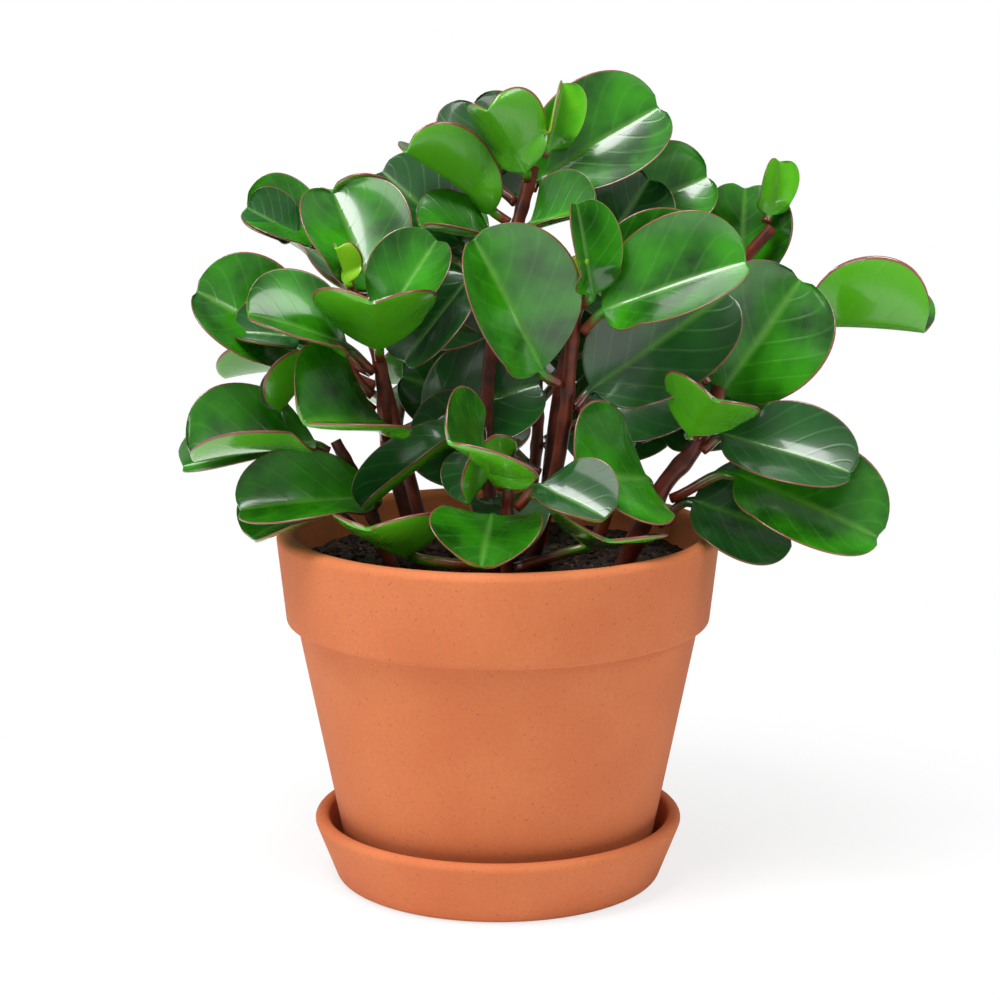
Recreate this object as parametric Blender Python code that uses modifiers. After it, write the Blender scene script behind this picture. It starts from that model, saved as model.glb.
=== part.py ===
"""Potted peperomia: terracotta pot on its saucer, soil, branching stems and cupped leaves.

Metres, +Z up. The origin is the middle of the saucer's flat underside, and the pot's axis is +Z.
Headings are degrees anticlockwise from +X seen from above, so -90 is the plant's front.
"""

import math
from collections import namedtuple

import bmesh
import bpy
from mathutils import Matrix, Vector

MM = 0.001
GAP = 0.3 * MM  # left between touching solids

# ---- pot, saucer and soil -------------------------------------------------------------------
RIM_RADIUS = 76 * MM
POT_TOP = 122 * MM
BAND_HEIGHT = 31 * MM
BAND_FOOT_RADIUS = 72.6 * MM
BODY_TOP_RADIUS = 68.6 * MM
POT_FOOT_RADIUS = 52 * MM
WALL = 5.6 * MM
LIP = 6.4 * MM
POT_FLOOR = 6 * MM
DRAIN_RADIUS = 7 * MM

SAUCER_HEIGHT = 22.4 * MM
SAUCER_TOP_RADIUS = 65.5 * MM
SAUCER_FOOT_RADIUS = 56.6 * MM
SAUCER_FLOOR = 5 * MM
SAUCER_WALL = 5.4 * MM

SOIL_TOP = 110 * MM
SOIL_CROWN = 2 * MM

TURNED_STEPS = 40

# ---- stems and leaves -----------------------------------------------------------------------
PETIOLE_RADIUS = 1.7 * MM
BLADE_THICKNESS = 1.7 * MM
CUP = 20  # degrees that each half of a blade curls up on top of its fold
STEM_STEPS = 8

# A leaf leaves its stem at a height, on a petiole with a length, heading and rise. The blade has
# a length, width, heading and pitch; its upper face looks along (heading, elevation). Millimetres
# and degrees.
Leaf = namedtuple("Leaf", "height petiole blade face fold droop")
Shoot = namedtuple("Shoot", "route radius leaves")

SHOOTS = {
    "tall": Shoot(
        [(0, 2, 100), (-4, 6, 160), (2, 10, 205), (12, 10, 244)],
        2.6,
        [
            Leaf(230, (3, 45, 50), (50, 46, 10, 30), (-100, 25), 14, 10),
            Leaf(223, (7, 185, 35), (41, 34, 213, 32), (90, 60), 36, 10),
            Leaf(216, (6, 220, 20), (28, 34, 202, 12), (-90, 65), 20, 10),
            Leaf(217, (8, -50, 35), (28, 32, -38, 15), (-105, 45), 25, 10),
            Leaf(237, (5, 262, 40), (28, 36, 222, 50), (85, 35), 30, 5),
            Leaf(198, (18, 240, 28), (37, 36, 197, -50), (-120, 25), 16, 10),
            Leaf(140, (30, 285, 24), (32, 28, 238, -28), (-150, 30), 45, 10),
            Leaf(148, (30, 258, 20), (45, 28, 205, -33), (-120, 40), 45, 10),
            Leaf(222, (12, 80, 40), (44, 42, 75, 30), (90, 55), 20, 15),
            Leaf(196, (20, 130, 35), (46, 42, 120, 15), (110, 60), 25, 20),
        ],
    ),
    "front": Shoot(
        [(8, -16, 100), (20, -24, 150), (24, -28, 187), (25, -28, 208)],
        2.5,
        [
            Leaf(173, (10, 215, 35), (50, 50, 200, 62), (-62, 20), 18, 10),
            Leaf(190, (10, -30, 40), (50, 46, -9, 20), (-97, 40), 20, 10),
            Leaf(199, (6, -50, 40), (31, 30, 170, 80), (-65, 5), 40, 5),
            Leaf(163, (10, 35, 40), (56, 45, -3, 36), (-80, 25), 12, 10),
            Leaf(197, (21, 74, 22), (43, 37, 5, 14), (-90, 35), 12, 10),
        ],
    ),
    "left": Shoot(
        [(-22, -12, 100), (-36, -16, 150), (-39, -17, 180), (-48, -16, 205)],
        2.5,
        [
            Leaf(196, (5, 60, 55), (40, 44, 125, 52), (-72, 30), 18, 10),
            Leaf(192, (5, -20, 30), (32, 32, 12, 56), (-110, 20), 15, 5),
            Leaf(180, (8, -90, 40), (34, 44, -92, 32), (90, 58), 8, 10),
            Leaf(175, (14, 215, 40), (38, 40, 210, 20), (-90, 52), 20, 15),
            Leaf(153, (8, -100, 40), (36, 56, 226, 8), (-98, 48), 20, 10),
            Leaf(167, (20, 186, 40), (25, 30, 207, -45), (180, 30), 30, 10),
            Leaf(162, (34, 165, 36), (39, 44, 192, 31), (-80, 40), 12, 10),
        ],
    ),
    "low_left": Shoot(
        [(-30, -22, 100), (-44, -20, 135), (-54, -18, 155)],
        2.4,
        [
            Leaf(149, (5, 185, 25), (42, 50, 193, -5), (-90, 72), 30, 10),
            Leaf(131, (5, -75, 40), (46, 38, 190, -3), (-95, 55), 15, 15),
            Leaf(120, (18, 175, 30), (28, 34, 211, -17), (-120, 60), 12, 15),
            Leaf(145, (24, 145, 10), (37, 28, 194, -8), (-90, 40), 35, 10),
        ],
    ),
    "low_front": Shoot(
        [(2, -34, 100), (3, -38, 125), (3, -42, 147)],
        2.3,
        [
            Leaf(141, (6, -120, 40), (35, 48, -118, 28), (8, 38), 22, 10),
            Leaf(126, (8, 240, 40), (27, 42, -98, -26), (-90, 55), 15, 15),
            Leaf(134, (11, -28, 40), (27, 32, -34, -17), (-100, 60), 20, 10),
            Leaf(115, (27, 5, 16), (28, 44, -82, 14), (68, 62), 5, 10),
            Leaf(115, (31, 188, 12), (26, 41, 238, 28), (75, 60), 5, 10),
        ],
    ),
    "right": Shoot(
        [(38, -8, 100), (54, -12, 136), (66, -12, 152), (74, -10, 172)],
        3.2,
        [
            Leaf(164, (4, 60, 30), (47, 50, 8, 55), (-85, 25), 10, 10),
            Leaf(155, (16, -104, 16), (29, 36, -75, 30), (58, 50), 8, 10),
            Leaf(146, (9, -25, 35), (46, 36, -24, -12), (-95, 45), 10, 10),
            Leaf(134, (9, -115, 38), (34, 54, 228, 8), (-35, 40), 10, 10),
            Leaf(132, (24, -18, 22), (52, 46, -17, -21), (-100, 45), 12, 10),
            Leaf(120, (14, -12, 35), (36, 46, -10, -18), (-85, 40), 10, 10),
        ],
    ),
    "right_back": Shoot(
        [(30, 16, 100), (52, 20, 165), (80, 24, 205), (94, 24, 222)],
        2.6,
        [
            Leaf(196, (8, 40, 25), (34, 38, 70, 78), (-80, 40), 20, 10),
            Leaf(180, (42, -12, 12), (42, 50, -25, 0), (90, 60), 45, 10),
            Leaf(200, (12, 118, 10), (40, 40, 92, 5), (92, 70), 20, 20),
        ],
    ),
    "mid_right": Shoot(
        [(14, 24, 100), (22, 24, 170), (36, 20, 224)],
        2.4,
        [
            Leaf(217, (6, 0, 45), (32, 36, 5, 24), (-80, 30), 12, 10),
            Leaf(196, (16, 60, 35), (44, 42, 60, 20), (60, 70), 20, 15),
        ],
    ),
    "back_left": Shoot(
        [(-22, 22, 100), (-40, 28, 170), (-52, 22, 222)],
        2.4,
        [
            Leaf(210, (14, 25, 45), (26, 32, 210, 30), (70, 55), 10, 10),
            Leaf(214, (8, 190, 25), (28, 32, 188, 22), (-90, 45), 15, 10),
        ],
    ),
    "back": Shoot(
        [(8, 40, 100), (14, 58, 140), (14, 64, 172)],
        2.4,
        [
            Leaf(165, (8, 90, 35), (46, 46, 90, 15), (90, 65), 20, 20),
            Leaf(150, (16, 160, 25), (44, 42, 150, 0), (120, 65), 20, 20),
            Leaf(140, (18, 30, 25), (44, 44, 40, -5), (50, 65), 20, 20),
        ],
    ),
}

TERRACOTTA = (0.62, 0.24, 0.11)
SOIL = (0.018, 0.010, 0.007)
STEM = (0.12, 0.022, 0.012)
LEAF = (0.014, 0.19, 0.014)


def clear_scene():
    for old in list(bpy.data.objects):
        bpy.data.objects.remove(old, do_unlink=True)


def new_collection(name):
    collection = bpy.data.collections.new(name)
    bpy.context.scene.collection.children.link(collection)
    return collection


def material(name, colour, roughness):
    made = bpy.data.materials.new(name)
    made.use_nodes = True
    shader = made.node_tree.nodes["Principled BSDF"]
    shader.inputs["Base Color"].default_value = (*colour, 1)
    shader.inputs["Roughness"].default_value = roughness
    shader.inputs["Metallic"].default_value = 0
    return made


def direction(heading, rise):
    """Unit vector at a heading and a rise, both in degrees."""
    flat = math.cos(math.radians(rise))
    turn = math.radians(heading)
    return Vector((flat * math.cos(turn), flat * math.sin(turn), math.sin(math.radians(rise))))


# ---- turned pieces --------------------------------------------------------------------------


def rounded(corners, steps=3):
    """Profile through corners (radius, height, rounding), each rounded by an arc."""
    profile = []
    for i, (x, z, rounding) in enumerate(corners):
        corner = Vector((x, z))
        if not rounding:
            profile.append(corner)
            continue
        before = (Vector(corners[i - 1][:2]) - corner).normalized()
        after = (Vector(corners[(i + 1) % len(corners)][:2]) - corner).normalized()
        half = before.angle(after) / 2
        centre = corner + (before + after).normalized() * rounding / math.sin(half)
        first = corner + before * rounding / math.tan(half) - centre
        last = corner + after * rounding / math.tan(half) - centre
        sweep = first.angle_signed(last)
        for step in range(steps + 1):
            profile.append(centre + Matrix.Rotation(-sweep * step / steps, 2) @ first)
    return profile


def turned(name, profile, closed, collection, finish):
    """Solid of revolution about Z, from a profile drawn at +X."""
    mesh = bpy.data.meshes.new(name)
    edges = [(i, i + 1) for i in range(len(profile) - 1)]
    if closed:
        edges.append((len(profile) - 1, 0))
    mesh.from_pydata([(p.x, 0, p.y) for p in profile], edges, [])
    made = bpy.data.objects.new(name, mesh)
    collection.objects.link(made)
    screw = made.modifiers.new("Turn", "SCREW")
    screw.steps = screw.render_steps = TURNED_STEPS
    screw.use_merge_vertices = True
    screw.merge_threshold = 0.01 * MM
    screw.use_smooth_shade = True
    mesh.materials.append(finish)
    return made


def pot_foot():
    return SAUCER_FLOOR + GAP


def wall_corners():
    """Inner side of the pot from its floor to its lip, as (radius, height)."""
    floor = pot_foot() + POT_FLOOR
    band_foot = POT_TOP - BAND_HEIGHT
    return [
        (POT_FOOT_RADIUS - WALL, floor),
        (BODY_TOP_RADIUS - WALL, band_foot - 4 * MM),
        (BAND_FOOT_RADIUS - WALL, band_foot + 1 * MM),
        (RIM_RADIUS - LIP, POT_TOP),
    ]


def make_pot(collection, finish):
    foot = pot_foot()
    band_foot = POT_TOP - BAND_HEIGHT
    floor_corner, body_corner, band_corner, lip_corner = wall_corners()
    corners = [
        (RIM_RADIUS, POT_TOP, 2.6 * MM),
        (BAND_FOOT_RADIUS, band_foot, 1.6 * MM),
        (BODY_TOP_RADIUS, band_foot - 3.2 * MM, 1.5 * MM),
        (POT_FOOT_RADIUS, foot, 1.5 * MM),
        (DRAIN_RADIUS, foot, 0),
        (DRAIN_RADIUS, foot + POT_FLOOR, 0),
        (*floor_corner, 0),
        (*body_corner, 0),
        (*band_corner, 0),
        (*lip_corner, 2.6 * MM),
    ]
    return turned("pot", rounded(corners), True, collection, finish)


def make_saucer(collection, finish):
    inner_foot = SAUCER_FOOT_RADIUS - 1.5 * MM
    corners = [
        (0, SAUCER_FLOOR, 0),
        (inner_foot, SAUCER_FLOOR, 2.4 * MM),
        (SAUCER_TOP_RADIUS - SAUCER_WALL, SAUCER_HEIGHT, 2.2 * MM),
        (SAUCER_TOP_RADIUS, SAUCER_HEIGHT, 2.2 * MM),
        (SAUCER_FOOT_RADIUS, 0, 3 * MM),
        (0, 0, 0),
    ]
    return turned("saucer", rounded(corners), False, collection, finish)


def make_soil(collection, finish):
    """Tapered plug that fills the pot, clear of its wall and floor by the gap."""
    clear = 1.2 * GAP
    floor_corner, body_corner, band_corner, lip_corner = wall_corners()
    up = (SOIL_TOP - band_corner[1]) / (lip_corner[1] - band_corner[1])
    edge = band_corner[0] + up * (lip_corner[0] - band_corner[0]) - clear
    corners = [
        (0, SOIL_TOP + SOIL_CROWN, 0),
        (edge * 0.6, SOIL_TOP + SOIL_CROWN * 0.7, 0),
        (edge, SOIL_TOP, 0),
        (band_corner[0] - clear, band_corner[1], 0),
        (body_corner[0] - clear, body_corner[1], 0),
        (floor_corner[0] - clear, floor_corner[1] + GAP, 0),
        (0, floor_corner[1] + GAP, 0),
    ]
    return turned("soil", rounded(corners), False, collection, finish)


# ---- stems ----------------------------------------------------------------------------------


def on_route(route, along):
    """Point and tangent of a smooth curve through the route's points, at 0 to 1 along it."""
    points = [Vector(p) * MM for p in route]
    points = [2 * points[0] - points[1], *points, 2 * points[-1] - points[-2]]
    spans = len(route) - 1
    span = min(int(along * spans), spans - 1)
    t = along * spans - span
    a, b, c, d = points[span : span + 4]
    bend = 2 * a - 5 * b + 4 * c - d
    twist = 3 * b - a - 3 * c + d
    place = b + 0.5 * ((c - a) * t + bend * t * t + twist * t**3)
    slope = 0.5 * ((c - a) + 2 * bend * t + 3 * twist * t * t)
    return place, slope.normalized()


def taper(along):
    """A stem's thickness along it, as a part of its thickness at the soil."""
    return 1 - 0.22 * along


def stem_at(shoot, height):
    """Place, tangent and radius of a shoot's stem at a height in millimetres."""
    low, high = 0.0, 1.0
    for _ in range(30):
        middle = (low + high) / 2
        if on_route(shoot.route, middle)[0].z < height * MM:
            low = middle
        else:
            high = middle
    place, tangent = on_route(shoot.route, low)
    return place, tangent, shoot.radius * MM * taper(low)


def stem_curve(name, shoot, collection, swell=0.0):
    """Tapered tube along a shoot's route; swell widens it and starts it lower, for a bore."""
    curve = bpy.data.curves.new(name, "CURVE")
    curve.dimensions = "3D"
    curve.bevel_depth = 1.0
    curve.bevel_resolution = 2
    curve.use_fill_caps = True
    spline = curve.splines.new("POLY")
    spline.points.add(STEM_STEPS)
    for step, point in enumerate(spline.points):
        place, tangent = on_route(shoot.route, step / STEM_STEPS)
        if step == 0:
            place = place - tangent * swell
        point.co = (*place, 1)
        point.radius = shoot.radius * MM * taper(step / STEM_STEPS) + swell
    made = bpy.data.objects.new(name, curve)
    collection.objects.link(made)
    return made


def make_stem(name, shoot, collection, finish):
    made = stem_curve(name, shoot, collection)
    made.data.materials.append(finish)
    return made


def bore(soil, name, shoot, cutters):
    """Cuts the hole that a stem is rooted in."""
    curve = stem_curve(name + "_curve", shoot, cutters, swell=GAP)
    evaluated = curve.evaluated_get(bpy.context.evaluated_depsgraph_get())
    mesh = bpy.data.meshes.new_from_object(evaluated)
    body = bmesh.new()
    body.from_mesh(mesh)
    bmesh.ops.remove_doubles(body, verts=body.verts, dist=0.001 * MM)
    bmesh.ops.recalc_face_normals(body, faces=body.faces)
    body.to_mesh(mesh)
    body.free()
    cutter = bpy.data.objects.new(name, mesh)
    cutter.matrix_world = curve.matrix_world
    cutter.hide_render = True
    cutter.display_type = "WIRE"
    cutters.objects.link(cutter)
    bpy.data.objects.remove(curve, do_unlink=True)
    cut = soil.modifiers.new(name, "BOOLEAN")
    cut.operation = "DIFFERENCE"
    cut.object = cutter


# ---- leaves ---------------------------------------------------------------------------------

ACROSS = (-1, -0.5, 0, 0.5, 1)
PETIOLE_STATIONS = (0, 0.35, 0.7)
BLADE_STATIONS = (0.03, 0.12, 0.28, 0.44, 0.6, 0.76, 0.89, 0.97)


def blade_outline(u):
    """Half width along an egg-shaped blade that is broadest past its middle, 1 at the widest."""
    return 1.96 * u**0.6 * (1 - u) ** 0.4


def section(centre, side, normal, half_width, half_thickness, fold, cup):
    """Ring of eight points round a blade or petiole; fold and cup raise its two margins."""
    upper, lower = [], []
    for v in ACROSS:
        slope = fold + cup * abs(v)
        out = (math.sin(slope) - math.sin(fold)) / cup * math.copysign(half_width, v)
        lift = (math.cos(fold) - math.cos(slope)) / cup * half_width
        place = centre + side * out + normal * lift
        thick = normal * half_thickness * math.sqrt(1 - v * v)
        upper.append(place + thick)
        if abs(v) < 1:
            lower.append(place - thick)
    return upper + lower[::-1]


def leaf_rings(shoot, leaf):
    stem, tangent, stem_radius = stem_at(shoot, leaf.height)
    reach, petiole_heading, petiole_rise = leaf.petiole
    leaves_stem = direction(petiole_heading, petiole_rise)
    slant = leaves_stem.dot(tangent)
    clear = stem_radius + GAP + PETIOLE_RADIUS * abs(slant)
    foot = stem + leaves_stem * clear / max(math.sqrt(1 - slant * slant), 0.5)
    base = foot + leaves_stem * reach * MM

    length, width, heading, pitch = leaf.blade
    forward = direction(heading, pitch)
    side = forward.cross(direction(*leaf.face)).normalized()
    normal = side.cross(forward)
    droop = math.radians(leaf.droop)
    fold = math.radians(leaf.fold)
    cup = math.radians(CUP)

    start = forward * math.cos(droop / 2) + normal * math.sin(droop / 2)
    bend_out = foot + leaves_stem * reach * MM * 0.45
    bend_in = base - start * reach * MM * 0.35
    rings = []
    for t in PETIOLE_STATIONS:
        s = 1 - t
        place = s**3 * foot + 3 * s * s * t * bend_out + 3 * s * t * t * bend_in + t**3 * base
        ahead = s * s * (bend_out - foot) + 2 * s * t * (bend_in - bend_out) + t * t * (base - bend_in)
        ahead.normalize()
        across = (side - ahead * side.dot(ahead)).normalized()
        top = across.cross(ahead)
        rings.append(section(place, across, top, PETIOLE_RADIUS, PETIOLE_RADIUS, 0, 1e-4))
    for u in BLADE_STATIONS:
        turn = droop * (0.5 - u)
        along = (math.sin(droop / 2) - math.sin(turn)) / droop
        rise = (math.cos(turn) - math.cos(droop / 2)) / droop
        place = base + (forward * along + normal * rise) * length * MM
        top = normal * math.cos(turn) - forward * math.sin(turn)
        half_width = max(blade_outline(u) * width * MM / 2, PETIOLE_RADIUS)
        rings.append(
            section(place, side, top, half_width, BLADE_THICKNESS / 2, fold * min(1, u / 0.25), cup)
        )
    return rings


def make_leaf(name, shoot, leaf, collection, finish):
    """Petiole and blade as one closed loft, from the stem to the blade's tip."""
    rings = leaf_rings(shoot, leaf)
    count = len(rings[0])
    faces = []
    for r in range(len(rings) - 1):
        for i in range(count):
            j = (i + 1) % count
            here, ahead = r * count, (r + 1) * count
            faces.append((here + i, here + j, ahead + j, ahead + i))
    last = (len(rings) - 1) * count
    faces.append(tuple(reversed(range(count))))
    faces.append(tuple(range(last, last + count)))
    mesh = bpy.data.meshes.new(name)
    mesh.from_pydata([point for ring in rings for point in ring], [], faces)
    body = bmesh.new()
    body.from_mesh(mesh)
    bmesh.ops.triangulate(body, faces=body.faces)
    bmesh.ops.recalc_face_normals(body, faces=body.faces)
    body.to_mesh(mesh)
    body.free()
    mesh.shade_smooth()
    mesh.materials.append(finish)
    made = bpy.data.objects.new(name, mesh)
    collection.objects.link(made)
    return made


def main():
    clear_scene()
    parts = new_collection("potted_peperomia")
    cutters = new_collection("cutters")
    make_saucer(parts, material("saucer_clay", TERRACOTTA, 0.75))
    make_pot(parts, material("pot_clay", TERRACOTTA, 0.75))
    soil = make_soil(parts, material("potting_soil", SOIL, 0.95))
    for shoot_name, shoot in SHOOTS.items():
        bore(soil, "bore_" + shoot_name, shoot, cutters)
        make_stem("stem_" + shoot_name, shoot, parts, material("stem_" + shoot_name, STEM, 0.5))
        for number, leaf in enumerate(shoot.leaves, start=1):
            name = f"leaf_{shoot_name}_{number:02d}"
            make_leaf(name, shoot, leaf, parts, material(name, LEAF, 0.3))


main()
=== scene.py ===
"""Potted peperomia: the finished plant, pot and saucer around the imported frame.

Headings are degrees anticlockwise from +X seen from above, so -90 is the plant's front.
"""

import math
import random
from collections import namedtuple

import bmesh
import bpy
from mathutils import Matrix, Vector, noise


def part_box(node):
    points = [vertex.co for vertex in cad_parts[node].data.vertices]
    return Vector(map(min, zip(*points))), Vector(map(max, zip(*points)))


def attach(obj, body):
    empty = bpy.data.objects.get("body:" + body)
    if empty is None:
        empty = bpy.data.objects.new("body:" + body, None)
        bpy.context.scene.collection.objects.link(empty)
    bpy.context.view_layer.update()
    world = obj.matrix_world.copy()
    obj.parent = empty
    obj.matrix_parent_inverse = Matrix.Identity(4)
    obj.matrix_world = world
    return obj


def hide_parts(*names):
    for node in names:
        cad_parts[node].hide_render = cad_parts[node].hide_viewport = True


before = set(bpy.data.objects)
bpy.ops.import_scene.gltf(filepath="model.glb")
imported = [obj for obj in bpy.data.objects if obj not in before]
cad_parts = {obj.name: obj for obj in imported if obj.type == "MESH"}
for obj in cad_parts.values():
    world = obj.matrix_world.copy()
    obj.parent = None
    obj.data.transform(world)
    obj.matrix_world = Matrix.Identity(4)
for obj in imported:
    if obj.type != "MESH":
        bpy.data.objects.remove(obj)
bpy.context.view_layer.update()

bl_info = {
    "name": "Potted peperomia",
    "version": (1, 0, 0),
    "blender": (4, 5, 0),
    "location": "3D View > Sidebar > Plant",
    "description": "Builds a potted peperomia with its pot, saucer, soil, stems and leaves",
    "category": "Add Mesh",
}

MM = 0.001
GAP = 0.3 * MM
SETTINGS = "peperomia"

# A leaf leaves its stem at a height, on a petiole with a length, heading and rise. The blade has
# a length, width, heading and pitch; its upper face looks along (heading, elevation). Fold is how
# far each half turns up from the midrib, and droop how far the blade bends from its base to its
# tip. A shoot has a route from inside the soil to its tip. Millimetres and degrees.
Leaf = namedtuple("Leaf", "height petiole blade face fold droop")
Shoot = namedtuple("Shoot", "route radius leaves")

SHOOTS = {
    "tall": Shoot(
        [(0, 2, 100), (-4, 6, 160), (2, 10, 205), (12, 10, 244)],
        2.6,
        [
            Leaf(230, (3, 45, 50), (50, 46, 10, 30), (-100, 25), 14, 10),
            Leaf(223, (7, 185, 35), (41, 34, 213, 32), (90, 60), 36, 10),
            Leaf(216, (6, 220, 20), (28, 34, 202, 12), (-90, 65), 20, 10),
            Leaf(217, (8, -50, 35), (28, 32, -38, 15), (-105, 45), 25, 10),
            Leaf(237, (5, 262, 40), (28, 36, 222, 50), (85, 35), 30, 5),
            Leaf(198, (18, 240, 28), (37, 36, 197, -50), (-120, 25), 16, 10),
            Leaf(140, (30, 285, 24), (32, 28, 238, -28), (-150, 30), 45, 10),
            Leaf(148, (30, 258, 20), (45, 28, 205, -33), (-120, 40), 45, 10),
            Leaf(222, (12, 80, 40), (44, 42, 75, 30), (90, 55), 20, 15),
            Leaf(196, (20, 130, 35), (46, 42, 120, 15), (110, 60), 25, 20),
        ],
    ),
    "front": Shoot(
        [(8, -16, 100), (20, -24, 150), (24, -28, 187), (25, -28, 208)],
        2.5,
        [
            Leaf(173, (10, 215, 35), (50, 50, 200, 62), (-62, 20), 18, 10),
            Leaf(190, (10, -30, 40), (50, 46, -9, 20), (-97, 40), 20, 10),
            Leaf(199, (6, -50, 40), (31, 30, 170, 80), (-65, 5), 40, 5),
            Leaf(163, (10, 35, 40), (56, 45, -3, 36), (-80, 25), 12, 10),
            Leaf(197, (21, 74, 22), (43, 37, 5, 14), (-90, 35), 12, 10),
        ],
    ),
    "left": Shoot(
        [(-22, -12, 100), (-36, -16, 150), (-39, -17, 180), (-48, -16, 205)],
        2.5,
        [
            Leaf(196, (5, 60, 55), (40, 44, 125, 52), (-72, 30), 18, 10),
            Leaf(192, (5, -20, 30), (32, 32, 12, 56), (-110, 20), 15, 5),
            Leaf(180, (8, -90, 40), (34, 44, -92, 32), (90, 58), 8, 10),
            Leaf(175, (14, 215, 40), (38, 40, 210, 20), (-90, 52), 20, 15),
            Leaf(153, (8, -100, 40), (36, 56, 226, 8), (-98, 48), 20, 10),
            Leaf(167, (20, 186, 40), (25, 30, 207, -45), (180, 30), 30, 10),
            Leaf(162, (34, 165, 36), (39, 44, 192, 31), (-80, 40), 12, 10),
        ],
    ),
    "low_left": Shoot(
        [(-30, -22, 100), (-44, -20, 135), (-54, -18, 155)],
        2.4,
        [
            Leaf(149, (5, 185, 25), (42, 50, 193, -5), (-90, 72), 30, 10),
            Leaf(131, (5, -75, 40), (46, 38, 190, -3), (-95, 55), 15, 15),
            Leaf(120, (18, 175, 30), (28, 34, 211, -17), (-120, 60), 12, 15),
            Leaf(145, (24, 145, 10), (37, 28, 194, -8), (-90, 40), 35, 10),
        ],
    ),
    "low_front": Shoot(
        [(2, -34, 100), (3, -38, 125), (3, -42, 147)],
        2.3,
        [
            Leaf(141, (6, -120, 40), (35, 48, -118, 28), (8, 38), 22, 10),
            Leaf(126, (8, 240, 40), (27, 42, -98, -26), (-90, 55), 15, 15),
            Leaf(134, (11, -28, 40), (27, 32, -34, -17), (-100, 60), 20, 10),
            Leaf(115, (27, 5, 16), (28, 44, -82, 14), (68, 62), 5, 10),
            Leaf(115, (31, 188, 12), (26, 41, 238, 28), (75, 60), 5, 10),
        ],
    ),
    "right": Shoot(
        [(38, -8, 100), (54, -12, 136), (66, -12, 152), (74, -10, 172)],
        3.2,
        [
            Leaf(164, (4, 60, 30), (47, 50, 8, 55), (-85, 25), 10, 10),
            Leaf(155, (16, -104, 16), (29, 36, -75, 30), (58, 50), 8, 10),
            Leaf(146, (9, -25, 35), (46, 36, -24, -12), (-95, 45), 10, 10),
            Leaf(134, (9, -115, 38), (34, 54, 228, 8), (-35, 40), 10, 10),
            Leaf(132, (24, -18, 22), (52, 46, -17, -21), (-100, 45), 12, 10),
            Leaf(120, (14, -12, 35), (36, 46, -10, -18), (-85, 40), 10, 10),
        ],
    ),
    "right_back": Shoot(
        [(30, 16, 100), (52, 20, 165), (80, 24, 205), (94, 24, 222)],
        2.6,
        [
            Leaf(196, (8, 40, 25), (34, 38, 70, 78), (-80, 40), 20, 10),
            Leaf(180, (42, -12, 12), (42, 50, -25, 0), (90, 60), 45, 10),
            Leaf(200, (12, 118, 10), (40, 40, 92, 5), (92, 70), 20, 20),
        ],
    ),
    "mid_right": Shoot(
        [(14, 24, 100), (22, 24, 170), (36, 20, 224)],
        2.4,
        [
            Leaf(217, (6, 0, 45), (32, 36, 5, 24), (-80, 30), 12, 10),
            Leaf(196, (16, 60, 35), (44, 42, 60, 20), (60, 70), 20, 15),
        ],
    ),
    "back_left": Shoot(
        [(-22, 22, 100), (-40, 28, 170), (-52, 22, 222)],
        2.4,
        [
            Leaf(210, (14, 25, 45), (26, 32, 210, 30), (70, 55), 10, 10),
            Leaf(214, (8, 190, 25), (28, 32, 188, 22), (-90, 45), 15, 10),
        ],
    ),
    "back": Shoot(
        [(8, 40, 100), (14, 58, 140), (14, 64, 172)],
        2.4,
        [
            Leaf(165, (8, 90, 35), (46, 46, 90, 15), (90, 65), 20, 20),
            Leaf(150, (16, 160, 25), (44, 42, 150, 0), (120, 65), 20, 20),
            Leaf(140, (18, 30, 25), (44, 44, 40, -5), (50, 65), 20, 20),
        ],
    ),
}

# The numbers of the leaves on each shoot that others shade, which get a deeper green as painted shade.
SHADED_LEAVES = {
    "tall": (6, 7, 8),
    "left": (6,),
    "low_front": (3,),
    "front": (4,),
    "right": (3, 6),
}

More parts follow.
